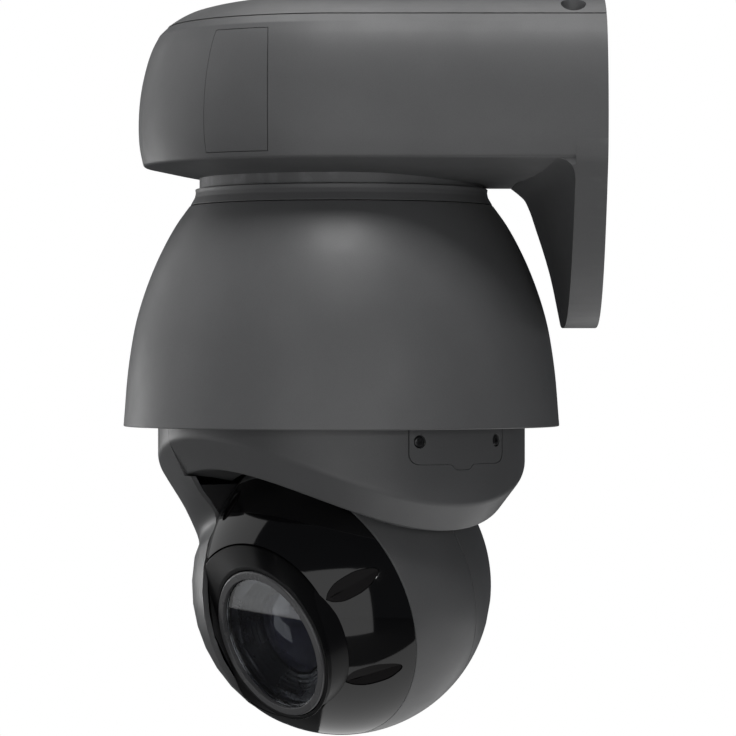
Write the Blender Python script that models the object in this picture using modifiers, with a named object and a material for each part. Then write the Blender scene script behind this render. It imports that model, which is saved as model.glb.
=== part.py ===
import math

import bpy
import bmesh
from mathutils import Matrix, Vector

# Lengths are millimetres here and are scaled to metres by this factor.
mm = 0.001
weldLimit = 0.00001
clearGap = 0.3

# Overall layout: the wall is the plane Y = 0, the arm reaches out along -Y.
panAxisY = -123.5
ballZ = -206.0
lensPanDeg = -50.0
lensTiltDeg = 20.0
capTurnDeg = 8.4
wallReach = 123.5
plateThick = 14.8

# Wall arm
seamZ = 64.2
armOutline = [(0, 64.2), (84.8, 64.2), (88.5, 60.4), (91.6, 54.5), (95.9, 40.9), (98.6, 19),
              (98.0, 5.8), (96.2, -3), (70, -8.3), (0, -13)]
armCavity = [(0, 70), (80.8, 70), (80.8, 60.5), (87.6, 52), (92.2, 39), (94.6, 19), (94, 6),
             (92, 1), (0, -5)]
coverOutline = [(0, 78.6), (28, 77.9), (43.2, 76.9), (58.2, 75), (67.2, 73), (73.3, 71.1),
                (77.5, 69.1), (80.7, 67.2), (84.6, 64.5), (0, 64.5)]
coverCavity = [(0, 75.9), (42, 74.3), (56, 72.4), (71, 68.6), (76, 65.5), (76, 60), (0, 60)]
armSteps = 32
cavityEnd = 100.0
bossRadius = 69.1
bossBottom = -13.4
neckHole = 26.0

# Tongue of the wall plate and the crowned gusset between it and the arm
tongueHalf = 96.5
tongueTip = -81.0
tongueTop = -3.0
crown = [(0, 25.8), (3.1, 21.9), (5.5, 19.4), (9, 17.6), (20.2, 13.6), (41.1, 6.9), (68, 0.9)]
filletRadius = 9.0
gussetStations = (-95, -90, -81, -69, -54, -37, -19, 0, 19, 37, 54, 69, 81, 90, 95)

# Side hatch in the nose
hatchSideY = -33.3
hatchFrontDeg = -40.3
hatchLow, hatchHigh = 0.0, 58.0
hatchThick = 2.5

# Steel wall plate inside the bracket's back recess
wallPlate = [(-84, 48), (84, 48), (84, 32), (60, 5), (24, -58), (-24, -58), (-60, 5), (-84, 32)]
wallPlateThick = 5.4
recessDepth = 6.0
wallHoles = [(-50, 34), (50, 34), (-17, -46), (17, -46)]
wallHoleRadius = 4.25
cableZ = 22.0
glandRadius = 15.7
lugX, lugFront, lugTop = 77.0, 101.8, 48.0
screwY = 108.5

# Hanging stack: neck, shield, fixed housing, turntable
neckOutline = [(30, -13.7), (69.1, -13.7), (70.7, -17.6), (73.5, -21.5), (30, -21.5)]
shieldOuter = [(30, -21.8), (73.8, -21.8), (79.8, -30.2), (87.4, -43.9), (93.7, -58.5),
               (99.8, -78), (103.2, -97.4), (106, -128.6)]
shieldInner = [(103.9, -128.6), (101.1, -97.6), (97.6, -78.8), (91.6, -59.3), (85.3, -45),
               (77.8, -31.3), (72.5, -24.2), (30, -24.2)]
housingWall = [(20, -24.5), (62, -24.5), (70, -32), (79, -52), (83, -75), (83, -93),
               (30, -93), (30, -90), (80, -90), (80, -75), (76, -53), (67.6, -34),
               (60.5, -27.5), (20, -27.5)]
roundSteps = 40

# Turning base: outer wall, saddle-shaped lower edge, spherical pocket for the ball
yokeRadius = 89.25
yokeTop = -100.3
rimRadius = 78.9
shoulderMean, shoulderSwing = -148.6, 15.9
rimMean, rimSwing = -162.6, 14.2
pocketRadius = 74.3
domeThick = 2.5
yokeWall = 4.0
yokeSteps = 40

# Split ball: the head on one side of the gap, the fork arm on the other
ballRadius = 72.8
shellThick = 2.5
headFlatY = -18.6
sidePlateThick = 2.3
armFaceY = -20.0
armUpperY = -26.5
armUpperZ = -152.0
forkCoverTop = -156.3
armWall = 3.0

# Lens group, centred off the ball's centre
lensY, lensZ = 18.5, -3.0
ringFront = 64.3


def clearScene():
    for item in list(bpy.data.objects):
        bpy.data.objects.remove(item, do_unlink=True)


def makeGroup(name):
    group = bpy.data.collections.new(name)
    bpy.context.scene.collection.children.link(group)
    return group


def makeMaterial(name, colour, roughness, metallic=0.0):
    material = bpy.data.materials.new(name)
    material.use_nodes = True
    shader = next(n for n in material.node_tree.nodes if n.type == 'BSDF_PRINCIPLED')
    shader.inputs['Base Color'].default_value = (*colour, 1.0)
    shader.inputs['Roughness'].default_value = roughness
    shader.inputs['Metallic'].default_value = metallic
    material.diffuse_color = (*colour, 1.0)
    return material


looks = {
    'body': ((0.09, 0.09, 0.095), 0.45, 0.0),
    'dark': ((0.03, 0.03, 0.032), 0.5, 0.0),
    'gloss': ((0.01, 0.01, 0.011), 0.08, 0.0),
    'window': ((0.02, 0.008, 0.01), 0.1, 0.0),
    'glass': ((0.05, 0.06, 0.08), 0.02, 0.0),
    'ring': ((0.35, 0.35, 0.36), 0.35, 0.0),
    'steel': ((0.55, 0.55, 0.56), 0.3, 1.0),
    'brass': ((0.7, 0.55, 0.3), 0.3, 1.0),
    'board': ((0.03, 0.2, 0.08), 0.5, 0.0),
    'rubber': ((0.02, 0.02, 0.02), 0.8, 0.0),
    'white': ((0.75, 0.75, 0.72), 0.4, 0.0),
}


def addObject(name, mesh, look, home, place=(0, 0, 0), turn=(0, 0, 0)):
    """Link a mesh as a finished part; home is its parent empty, or None for the fixed frame."""
    item = bpy.data.objects.new(name, mesh)
    partGroup.objects.link(item)
    item.location = Vector(place) * mm
    item.rotation_euler = turn
    item.parent = home
    if look:
        colour, roughness, metallic = looks[look]
        mesh.materials.clear()
        mesh.materials.append(makeMaterial(name + '_look', colour, roughness, metallic))
    return item


def asCutter(item):
    partGroup.objects.unlink(item)
    cutterGroup.objects.link(item)
    item.hide_render = True
    item.display_type = 'WIRE'
    return item


def smooth(mesh, angleDeg=35):
    """Shade round pieces smooth and keep their real edges sharp."""
    work = bmesh.new()
    work.from_mesh(mesh)
    for face in work.faces:
        face.smooth = True
    for edge in work.edges:
        if len(edge.link_faces) == 2:
            edge.smooth = edge.calc_face_angle(0) < math.radians(angleDeg)
    work.to_mesh(mesh)
    work.free()


def revolve(name, profile, look, home, steps=24, place=(0, 0, 0), turn=(0, 0, 0), ring=False):
    """Turn a half profile of (radius, height) about the object's Z axis with a Screw modifier."""
    mesh = bpy.data.meshes.new(name)
    points = [(r * mm, 0, z * mm) for r, z in profile]
    edges = [(i, i + 1) for i in range(len(points) - 1)]
    if ring:
        edges.append((len(points) - 1, 0))
    mesh.from_pydata(points, edges, [])
    item = addObject(name, mesh, look, home, place, turn)
    screw = item.modifiers.new('turn', 'SCREW')
    screw.axis = 'Z'
    screw.angle = math.tau
    screw.steps = steps
    screw.render_steps = steps
    screw.use_merge_vertices = True
    screw.merge_threshold = weldLimit
    screw.use_smooth_shade = True
    return item


def tube(name, inner, outer, low, high, look, home, **more):
    profile = [(inner, high), (outer, high), (outer, low), (inner, low)]
    return revolve(name, profile, look, home, ring=True, **more)


def rod(name, radius, low, high, look, home, **more):
    return revolve(name, [(0, high), (radius, high), (radius, low), (0, low)], look, home, **more)


def bake(item):
    """Replace an object's mesh by what its modifiers make of it."""
    graph = bpy.context.evaluated_depsgraph_get()
    graph.update()
    mesh = bpy.data.meshes.new_from_object(item.evaluated_get(graph))
    item.modifiers.clear()
    for material in item.data.materials:
        if not mesh.materials:
            mesh.materials.append(material)
    item.data = mesh
    return item


def stretch(item, reach=400.0):
    """Slide the wall-side half of a turned solid along +Y, which makes a round-nosed bar."""
    bake(item)
    work = bmesh.new()
    work.from_mesh(item.data)
    for vert in work.verts:
        if vert.co.y > weldLimit:
            vert.co.y += reach * mm
    work.to_mesh(item.data)
    work.free()
    return item


def prism(name, outline, low, high, look, home, place=(0, 0, 0), turn=(0, 0, 0)):
    """Extrude a flat outline along the object's Z axis."""
    curve = bpy.data.curves.new(name, 'CURVE')
    curve.dimensions = '2D'
    curve.fill_mode = 'BOTH'
    curve.extrude = (high - low) * mm / 2
    line = curve.splines.new('POLY')
    line.points.add(len(outline) - 1)
    for point, (x, y) in zip(line.points, outline):
        point.co = (x * mm, y * mm, 0, 1)
    line.use_cyclic_u = True
    source = bpy.data.objects.new(name + '_curve', curve)
    bpy.context.scene.collection.objects.link(source)
    graph = bpy.context.evaluated_depsgraph_get()
    graph.update()
    mesh = bpy.data.meshes.new_from_object(source.evaluated_get(graph))
    bpy.data.objects.remove(source, do_unlink=True)
    work = bmesh.new()
    work.from_mesh(mesh)
    bmesh.ops.remove_doubles(work, verts=work.verts[:], dist=weldLimit)
    bmesh.ops.translate(work, verts=work.verts[:], vec=(0, 0, (low + high) * mm / 2))
    bmesh.ops.recalc_face_normals(work, faces=work.faces[:])
    work.to_mesh(mesh)
    work.free()
    return addObject(name, mesh, look, home, place, turn)


def box(name, low, high, look, home, place=(0, 0, 0), turn=(0, 0, 0)):
    mesh = bpy.data.meshes.new(name)
    work = bmesh.new()
    bmesh.ops.create_cube(work, size=1.0)
    for vert in work.verts:
        for axis in range(3):
            vert.co[axis] = (low[axis] if vert.co[axis] < 0 else high[axis]) * mm
    work.to_mesh(mesh)
    work.free()
    return addObject(name, mesh, look, home, place, turn)


def loft(name, rings, look, home, place=(0, 0, 0), turn=(0, 0, 0), closeLoop=False):
    """Skin a row of equal-length point rings; the ends are capped, or joined when closeLoop."""
    mesh = bpy.data.meshes.new(name)
    work = bmesh.new()
    rows = [[work.verts.new(Vector(p) * mm) for p in ring] for ring in rings]
    pairs = list(zip(rows, rows[1:])) + ([(rows[-1], rows[0])] if closeLoop else [])
    for one, two in pairs:
        for i in range(len(one)):
            j = (i + 1) % len(one)
            work.faces.new((one[i], one[j], two[j], two[i]))
    if not closeLoop:
        work.faces.new(rows[0])
        work.faces.new(rows[-1])
    bmesh.ops.recalc_face_normals(work, faces=work.faces[:])
    work.to_mesh(mesh)
    work.free()
    smooth(mesh)
    return addObject(name, mesh, look, home, place, turn)


def combine(item, other, operation='DIFFERENCE'):
    boolean = item.modifiers.new(operation.lower(), 'BOOLEAN')
    boolean.operation = operation
    boolean.solver = 'EXACT'
    boolean.object = other
    return item


def cutWith(item, other):
    return combine(item, asCutter(other))


def keepInside(item, other):
    return combine(item, asCutter(other), 'INTERSECT')


def addEmpty(name, place, turn, home=None):
    empty = bpy.data.objects.new(name, None)
    cutterGroup.objects.link(empty)
    empty.location = Vector(place) * mm
    empty.rotation_euler = [math.radians(a) for a in turn]
    empty.parent = home
    return empty


def outward(angleDeg, radius, height):
    """Place and turn that point an object's Z axis straight out from the pan axis."""
    angle = math.radians(angleDeg)
    place = (radius * math.cos(angle), radius * math.sin(angle), height)
    turn = (Matrix.Rotation(angle, 3, 'Z') @ Matrix.Rotation(math.pi / 2, 3, 'Y')).to_euler()
    return place, turn


def makeScrew(name, headRadius, headHigh, shankRadius, length, home, place, turn=(0, 0, 0)):
    """A round-headed screw with a driver recess; its seat is at the local origin."""
    recess = headRadius * 0.45
    profile = [(0, headHigh * 0.5), (recess, headHigh * 0.5), (recess, headHigh),
               (headRadius * 0.85, headHigh), (headRadius, headHigh * 0.7), (headRadius, 0),
               (shankRadius, 0), (shankRadius, -length), (0, -length)]
    return revolve(name, profile, 'steel', home, steps=12, place=place, turn=turn)


clearScene()
partGroup = makeGroup('ptz_camera')
cutterGroup = makeGroup('cutters_and_guides')

lookAlong = (0, math.pi / 2, 0)
lookSide = (-math.pi / 2, 0, 0)
wallTurn = (math.pi / 2, 0, 0)

fixed = addEmpty('fixed_axis', (0, panAxisY, 0), (0, 0, 0))
turning = addEmpty('pan_axis', (0, panAxisY, 0), (0, 0, lensPanDeg))
nodding = addEmpty('tilt_axis', (0, 0, ballZ), (0, lensTiltDeg, 0), turning)
capFrame = addEmpty('cap_axis', (0, 0, 0), (0, 0, capTurnDeg), nodding)
bpy.context.view_layer.update()


# Wall arm with its round nose, tongue plate and crowned gusset

def tongueBottom(x):
    return tongueTip + (tongueTop - tongueTip) * (x / tongueHalf) ** 2


def gussetSection(x):
    share = 1 - (x / tongueHalf) ** 2
    low, high = tongueBottom(x), -13 + 10 * (x / 96.0) ** 2
    front = wallReach - plateThick
    points = [(x, wallReach, 5), (x, wallReach, low)]
    for drop, depth in reversed(crown):
        arc = filletRadius - math.sqrt(filletRadius ** 2 - max(0, filletRadius - drop) ** 2)
        reach = max(arc, depth * share + arc * (1 - share))
        points.append((x, front - reach, high - drop * (high - low) / crown[-1][0]))
    points.append((x, front - max(filletRadius, crown[0][1] * share), 5))
    return points


bracket = revolve('bracket_body', armOutline, 'body', fixed, steps=armSteps)
stretch(bracket)
cutWith(bracket, box('cut_wall', (-200, wallReach, -200), (200, 900, 200), None, fixed))
combine(bracket, asCutter(loft('add_gusset', [gussetSection(x) for x in gussetStations],
                               None, fixed)), 'UNION')
combine(bracket, asCutter(rod('add_boss', bossRadius, bossBottom, -4, None, fixed,
                              steps=armSteps)), 'UNION')
hollow = stretch(revolve('cut_arm_hollow', armCavity, None, fixed, steps=armSteps))
cutWith(bracket, cutWith(hollow, box('cut_hollow_end', (-200, cavityEnd, -100),
                                     (200, 900, 100), None, fixed)))
cutWith(bracket, rod('cut_neck_hole', neckHole, -30, 10, None, fixed, steps=24))
cutWith(bracket, prism('cut_recess', [(x * 1.004, z * 1.008) for x, z in wallPlate],
                       -recessDepth - 200, recessDepth, None, fixed,
                       (0, wallReach, 0), wallTurn))
cutWith(bracket, rod('cut_gland_hole', glandRadius + clearGap, 95, 120, None, fixed,
                     steps=20, place=(0, 0, cableZ), turn=lookSide))
for side, label in ((-1, 'left'), (1, 'right')):
    cutWith(bracket, box('cut_lug_' + label, (side * lugX - 7.3, 101.4, 37.6),
                         (side * lugX + 7.3, 119, lugTop + 0.4), None, fixed))
    cutWith(bracket, rod('cut_screw_hole_' + label, 2.9, 45, 60, None, fixed, steps=12,
                         place=(side * lugX, screwY, 0)))
    cutWith(bracket, rod('cut_screw_seat_' + label, 5.9, 58, 90, None, fixed, steps=16,
                         place=(side * lugX, screwY, 0)))


def inset(profile, distance):
    return [(max(0, r - distance) if r > 75 else r, z) for r, z in profile]



def hatchBlock(name, shrink, reach=120):
    """A wedge between the hatch's flat wall-side edge and its front edge, which points at the axis."""
    slope = math.radians(hatchFrontDeg)
    side = hatchSideY - shrink
    push = shrink / math.cos(slope)
    near = (side - push) / math.tan(slope)
    outline = [(near, side), (reach, side), (reach, reach * math.tan(slope) + push)]
    return prism(name, outline, hatchLow + shrink, hatchHigh - shrink, None, fixed)


pocket = hatchBlock('cut_hatch_pocket', 0)
cutWith(pocket, revolve('cut_hatch_core', inset(armOutline, hatchThick + clearGap), None,
                        fixed, steps=armSteps))
cutWith(bracket, pocket)
cutWith(bracket, hatchBlock('cut_hatch_window', 5.0))
hatch = revolve('side_hatch', armOutline, 'body', fixed, steps=armSteps)
keepInside(hatch, hatchBlock('keep_hatch', clearGap))
cutWith(hatch, revolve('cut_hatch_back', inset(armOutline, hatchThick), None, fixed,
                       steps=armSteps))

cover = stretch(revolve('bracket_top_cover', coverOutline, 'body', fixed, steps=armSteps))
cutWith(cover, box('cut_cover_wall', (-200, wallReach, -200), (200, 900, 200), None, fixed))
coverHollow = stretch(revolve('cut_cover_hollow', coverCavity, None, fixed, steps=armSteps))
cutWith(cover, cutWith(coverHollow, box('cut_cover_end', (-200, cavityEnd, -100),
                                        (200, 900, 100), None, fixed)))
for side, label in ((-1, 'left'), (1, 'right')):
    cutWith(cover, rod('cut_cover_hole_' + label, 5.9, 50, 90, None, fixed, steps=16,
                       place=(side * lugX, screwY, 0)))
    makeScrew('lock_screw_' + label, 5.2, 4.2, 2.5, 19, fixed, (side * lugX, screwY, 58.3))

plate = prism('wall_plate', wallPlate, 0, wallPlateThick, 'steel', fixed,
              (0, wallReach, 0), wallTurn)
for side, label in ((-1, 'left'), (1, 'right')):
    combine(plate, asCutter(box('add_lug_' + label, (side * lugX - 7, lugFront, 38),
                                (side * lugX + 7, 120, lugTop), None, fixed)), 'UNION')
    cutWith(plate, rod('cut_lug_hole_' + label, 2.9, 30, 60, None, fixed, steps=12,
                       place=(side * lugX, screwY, 0)))
for index, (x, z) in enumerate(wallHoles):
    cutWith(plate, rod('cut_wall_hole_%d' % index, wallHoleRadius, 110, 130, None, fixed,
                       steps=24, place=(x, 0, z), turn=lookSide))
cutWith(plate, rod('cut_plate_cable', 18, 110, 130, None, fixed, steps=20,
                   place=(0, 0, cableZ), turn=lookSide))

revolve('cable_gland', [(6, 84), (11, 84), (13, 88), (13, 94), (20, 94), (20, 99.7),
                        (15.7, 99.7), (15.7, 116), (6, 116)][::-1], 'rubber', fixed,
        steps=20, place=(0, 0, cableZ), turn=lookSide, ring=True)
box('network_board', (-30, -58, 1.4), (30, 62, 3), 'board', fixed, place=(0, 20, 0))
box('network_jack', (-9, -56, 3.3), (9, -34, 17), 'steel', fixed, place=(0, 20, 0))

# Neck, sun shield and fixed upper housing

revolve('neck_ring', neckOutline, 'body', fixed, steps=roundSteps, ring=True)
revolve('sun_shield', shieldOuter + shieldInner, 'body', fixed, steps=roundSteps, ring=True)
revolve('upper_housing', housingWall, 'dark', fixed, steps=28, ring=True)
tube('main_board', 16, 58, -60, -58.4, 'board', fixed, steps=24)
tube('pan_ring_gear', 36, 44, -96.7, -93.3, 'white', fixed, steps=36)
tube('pan_bearing', 22, 30, -96.7, -93.3, 'steel', fixed, steps=28)
rod('slip_ring_stator', 14, -89, -62, 'dark', fixed, steps=20)

# Turning base

pinionPlace = (-36.4, 36.4)
turntable = tube('turntable_plate', 9.3, 88.9, -100, -97, 'steel', turning, steps=36)
cutWith(turntable, rod('cut_pinion_hole', 3.2, -110, -90, None, turning, steps=12,
                       place=(*pinionPlace, 0)))
rod('pan_motor', 17.5, -121, -100.3, 'dark', turning, steps=20, place=(*pinionPlace, 0))
revolve('slip_ring_rotor', [(0, -89.3), (8, -89.3), (8, -100.3), (14, -100.3), (14, -103.3),
                            (8, -103.3), (8, -114), (0, -114)], 'dark', turning, steps=20)
box('drive_board', (-25, -30, -110), (25, 30, -108.4), 'board', turning, place=(45, 18, 0))


def wrap(radiusAt, heightAt, steps=yokeSteps):
    ring = []
    for i in range(steps):
        angle = math.tau * i / steps
        radius = radiusAt(angle)
        ring.append((radius * math.cos(angle), radius * math.sin(angle), heightAt(angle)))
    return ring


def level(radius, height, steps=yokeSteps):
    return wrap(lambda a: radius, lambda a: height, steps)


def shoulder(angle, drop=0.0):
    return shoulderMean + shoulderSwing * math.cos(2 * angle) - drop


def rim(angle, lift=0.0):
    return rimMean + rimSwing * math.cos(2 * angle) + lift


def sphereRow(radius, startAt, share, pole=88.0):
    """A row of points on a sphere about the ball's centre, part of the way to its pole."""
    def climb(angle):
        first = math.asin((startAt(angle) - ballZ) / radius)
        return first + (math.radians(pole) - first) * share
    return wrap(lambda a: radius * math.cos(climb(a)),
                lambda a: ballZ + radius * math.sin(climb(a)))


domeRadius = pocketRadius + domeThick
yokeRings = [sphereRow(pocketRadius, rim, share) for share in (1, 0.66, 0.33, 0)]
yokeRings += [wrap(lambda a: rimRadius, rim), wrap(lambda a: yokeRadius, shoulder),
              level(yokeRadius, yokeTop), level(yokeRadius - yokeWall, yokeTop),
              wrap(lambda a: yokeRadius - yokeWall, lambda a: shoulder(a, -1)),
              wrap(lambda a: rimRadius + 0.5, lambda a: rim(a, 4))]
yokeRings += [sphereRow(domeRadius, lambda a: rim(a, 4), share) for share in (0, 0.33, 0.66, 1)]
yoke = loft('yoke_body', yokeRings, 'body', turning)
cutWith(yoke, box('cut_fork_side', (-120, -120, -230), (120, armUpperY + clearGap, -112),
                  None, turning))

doorOutline = [(-29.5, 26), (29.5, 26), (29.5, -4), (28.2, -7), (25.2, -8.3), (6.5, -8.3),
               (4.6, -11), (-4.6, -11), (-6.5, -8.3), (-25.2, -8.3), (-28.2, -7), (-29.5, -4)]
doorZ = -137.0
doorFace = ((0, 0, doorZ), (-math.pi / 2, 0, 0))


def doorPrism(name, scale, low=60, high=110):
    outline = [(x * scale, -y * scale) for x, y in doorOutline]
    return prism(name, outline, low, high, None, turning, *doorFace)


doorPocket = doorPrism('cut_door_pocket', 1.0)
cutWith(doorPocket, rod('cut_door_core', yokeRadius - 2.5, -180, -90, None, turning,
                        steps=yokeSteps))
cutWith(yoke, doorPocket)
cutWith(yoke, box('cut_door_window', (-17, 60, -141), (17, 110, -116), None, turning))
door = rod('card_door', yokeRadius, -180, -90, 'body', turning, steps=yokeSteps)
keepInside(door, doorPrism('keep_door', 0.985))
cutWith(door, rod('cut_door_back', yokeRadius - 2.2, -190, -80, None, turning,
                  steps=yokeSteps))
for angle, label in ((74.5, 'left'), (105.5, 'right')):
    seat, aim = outward(angle, yokeRadius - 1.6, -134.4)
    cutWith(door, rod('cut_door_seat_' + label, 3.1, 0, 6, None, turning, steps=16,
                      place=seat, turn=aim))
    cutWith(door, rod('cut_door_hole_' + label, 1.8, -8, 4, None, turning, steps=12,
                      place=seat, turn=aim))
    cutWith(yoke, rod('cut_yoke_hole_' + label, 1.8, -8, 4, None, turning, steps=12,
                      place=seat, turn=aim))
    seat, aim = outward(angle, yokeRadius - 1.4, -134.4)
    makeScrew('door_screw_' + label, 2.8, 1.2, 1.5, 5, turning, seat, aim)
box('card_socket', (-14, 58, -130), (6, 81, -127), 'steel', turning)

# Fork arm: the fixed part of the ball with the tilt drive inside


def armRings(insetBy, top):
    def lower(angle):
        return shoulder(angle, 24)

    def start(angle):
        return lower(angle) - 13

    radius = ballRadius - insetBy
    rings = [level(yokeRadius - insetBy, top),
             wrap(lambda a: yokeRadius - insetBy, shoulder),
             wrap(lambda a: 75 - insetBy, lower)]
    rings += [sphereRow(radius, start, share, -88.0) for share in (0, 0.2, 0.4, 0.6, 0.8, 1)]
    return rings


forkArm = loft('fork_arm', armRings(0, -112.3), 'body', turning)
cutWith(forkArm, loft('cut_fork_hollow', armRings(armWall, -115.3), None, turning))
cutWith(forkArm, box('cut_fork_face', (-120, armFaceY, -300), (120, 120, -80), None, turning))
cutWith(forkArm, box('cut_fork_upper', (-120, armUpperY, armUpperZ), (120, 120, -80), None,
                     turning))
forkCover = loft('fork_cover', armRings(armWall + clearGap, -150), 'dark', turning)
keepInside(forkCover, box('keep_fork_cover', (-120, armFaceY - 2.2, -300),
                          (120, armFaceY, forkCoverTop), None, turning))
cutWith(forkCover, rod('cut_bearing_hole', 12.3, -40, 0, None, turning, steps=24,
                       place=(0, 0, ballZ), turn=lookSide))
tube('tilt_bearing', 6.4, 12, -26, -20.3, 'steel', turning, steps=24, place=(0, 0, ballZ),
     turn=lookSide)
motorX, motorZ = 0.0, ballZ + 32.7
rod('tilt_motor', 13, -60, -42, 'dark', turning, steps=20, place=(motorX, 0, motorZ),
    turn=lookSide)

# Gears that follow the pan and tilt axes, and the reset button

rod('pan_pinion', 7.1, -96.6, -93.4, 'white', turning, steps=24, place=(*pinionPlace, 0))
combine(bpy.data.objects['pan_pinion'],
        asCutter(rod('add_pinion_shaft', 2.2, -100, -94, None, turning, steps=12,
                     place=(*pinionPlace, 0))), 'UNION')
rod('tilt_pinion', 6, -41.7, -32, 'white', turning, steps=24, place=(motorX, 0, motorZ),
    turn=lookSide)
rod('reset_button', 2.5, 0, 6, 'white', turning, steps=16, place=(12, 76, -128.5),
    turn=lookSide)

# Tilting head: shells about an axis that leans towards the lens, side plate, lens group


def arc(radius, high, low, count):
    """Points on the ball between two heights on its own axis."""
    first, last = math.acos(high / radius), math.acos(low / radius)
    angles = [first + (last - first) * i / (count - 1) for i in range(count)]
    return [(radius * abs(math.sin(a)), radius * math.cos(a)) for a in angles]


innerRadius = ballRadius - shellThick
headSteps = 40


def headShell(name, look, high, low, count, innerHigh=None):
    profile = arc(ballRadius, high, low, count)
    profile += arc(innerRadius, innerHigh or high, low, count)[::-1]
    shell = revolve(name, profile, look, capFrame, steps=headSteps, turn=lookAlong, ring=True)
    return cutWith(shell, box('cut_flat_' + name, (-90, -90, -90),
                              (90, headFlatY + sidePlateThick + clearGap, 90), None, nodding))


front = headShell('front_cover', 'gloss', 57.4, 27.8, 6, 54.2)
headShell('middle_shell', 'body', 27.5, -13.6, 5)
rearProfile = arc(innerRadius, -13.9, -innerRadius, 8)[::-1]
rearProfile += arc(ballRadius, -13.9, -ballRadius, 8)
rear = revolve('rear_shell', rearProfile, 'body', capFrame, steps=headSteps, turn=lookAlong)
cutWith(rear, box('cut_flat_rear', (-90, -90, -90),
                  (90, headFlatY + sidePlateThick + clearGap, 90), None, nodding))

# A leaf-shaped infrared window runs between two points of the face, each given as a radius
# and an angle about the cap axis, and has a half width.
leafShape = [(0, 0), (0.15, 0.62), (0.36, 0.96), (0.64, 1), (0.87, 0.66), (1, 0.15),
             (1, -0.15), (0.87, -0.66), (0.64, -1), (0.36, -0.96), (0.15, -0.62)]
leafWindows = [((56, 110), (64, 102.5), 3.0), ((46, 19.5), (64, 19.5), 5.2),
               ((47.5, -34.5), (64, -25), 5.0), ((56, -110), (64, -102.5), 3.0)]
leafBase = Matrix(((0, 0, 1), (1, 0, 0), (0, 1, 0))).to_euler()


def leafLine(start, end, half, long=1.0, wide=1.0):
    first, last = [Vector((r * math.cos(math.radians(a)), r * math.sin(math.radians(a))))
                   for r, a in (start, end)]
    along, middle = last - first, (first + last) / 2
    across = Vector((-along.y, along.x)).normalized() * half * wide
    return [tuple(middle + along * (t - 0.5) * long + across * w) for t, w in leafShape]


for number, (start, end, half) in enumerate(leafWindows, 1):
    cutWith(front, prism('cut_window_%d' % number, leafLine(start, end, half), 10, 80, None,
                         capFrame, turn=leafBase))
    pane = revolve('ir_window_%d' % number, arc(ballRadius, 60, 24, 6)
                   + arc(innerRadius, 60, 24, 6)[::-1], 'window', capFrame, steps=headSteps,
                   turn=lookAlong, ring=True)
    keepInside(pane, prism('keep_window_%d' % number, leafLine(start, end, half, 0.96, 0.92),
                           10, 80, None, capFrame, turn=leafBase))

sideRadius = math.sqrt(ballRadius ** 2 - headFlatY ** 2)
sidePlate = rod('side_plate', sideRadius, headFlatY, headFlatY + sidePlateThick, 'dark',
                nodding, steps=36, turn=lookSide)
cutWith(sidePlate, box('cut_side_front', (46, -40, -37.6), (90, 0, 37.6), None, nodding))
cutWith(sidePlate, rod('cut_shaft_hole', 6.3, -30, 0, None, nodding, steps=20, turn=lookSide))
revolve('tilt_shaft', [(0, -45), (6, -45), (6, -15.9), (14, -15.9), (14, -12), (0, -12)][::-1],
        'steel', nodding, steps=20, turn=lookSide)
tube('tilt_gear', 6.3, 26.2, -37, -32, 'white', nodding, steps=36, turn=lookSide)


def lensPart(maker, name, *numbers, look, **more):
    return maker(name, *numbers, look, nodding, place=(0, lensY, lensZ), turn=lookAlong, **more)


def circleRow(radius, depth, inCap, steps=36):
    """A circle about the cap axis or the lens axis, given in the head's own frame."""
    lean = Matrix.Rotation(math.radians(capTurnDeg), 3, 'Z')
    row = []
    for i in range(steps):
        angle = math.tau * i / steps
        y, z = radius * math.cos(angle), radius * math.sin(angle)
        if inCap:
            row.append(tuple(lean @ Vector((depth, y, z))))
        else:
            row.append((depth, y + lensY, z + lensZ))
    return row


collar = loft('lens_collar', [circleRow(37.2, 48, False), circleRow(37.2, 63.2, False),
                              circleRow(39.2, 63.2, False), circleRow(44.2, 57.6, True),
                              circleRow(43.6, 48, True)], 'dark', nodding, closeLoop=True)
cutWith(collar, box('cut_flat_collar', (-90, -90, -90), (90, headFlatY, 90), None, nodding))
lensPart(revolve, 'lens_ring', [(33, 64.3), (36.4, 64.3), (36.8, 63.6), (36.8, 59),
                                (33, 59)], look='ring', steps=32, ring=True)
lensPart(rod, 'window_glass', 32.7, 60, 62.4, look='glass', steps=28)
lensPart(revolve, 'lens_barrel', [(27, 57), (33, 57), (33, 46), (24, 40), (24, 28), (18, 28),
                                  (18, 40), (21, 47)], look='dark', steps=24, ring=True)
lensPart(revolve, 'front_lens', [(0, 54.5), (8, 53.8), (15, 51.6), (20.2, 49), (20.2, 47.5),
                                 (0, 47.5)], look='glass', steps=20)
lensPart(revolve, 'lens_housing', [(17, 27.7), (23, 27.7), (23, -16), (12, -16), (12, -13.5),
                                   (17, -13.5)], look='dark', steps=20, ring=True)
lensPart(revolve, 'zoom_group', [(9, 12), (15, 12), (15, 5), (9, 5)], look='brass', steps=20,
         ring=True)
lensPart(revolve, 'focus_group', [(7, -2), (14, -2), (14, -6), (7, -6)], look='brass',
         steps=20, ring=True)
box('night_filter', (-18.6, -7, -8), (-17.2, 12, 8), 'glass', nodding, place=(0, lensY, lensZ))
box('sensor_board', (-24, -19, -19), (-22.4, 19, 19), 'board', nodding,
    place=(0, lensY, lensZ))
box('image_sensor', (-22.1, -5, -4), (-20.6, 5, 4), 'dark', nodding, place=(0, lensY, lensZ))
tube('ir_board', 48, 58, 24, 25.6, 'board', capFrame, steps=32, turn=lookAlong)
cutWith(bpy.data.objects['ir_board'],
        box('cut_flat_board', (-90, -90, -90), (90, headFlatY + 4, 90), None, nodding))
plugAim = Vector((-0.62, 0.665, -0.415)).normalized()
plugTurn = plugAim.to_track_quat('Z', 'Y').to_euler()
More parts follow.
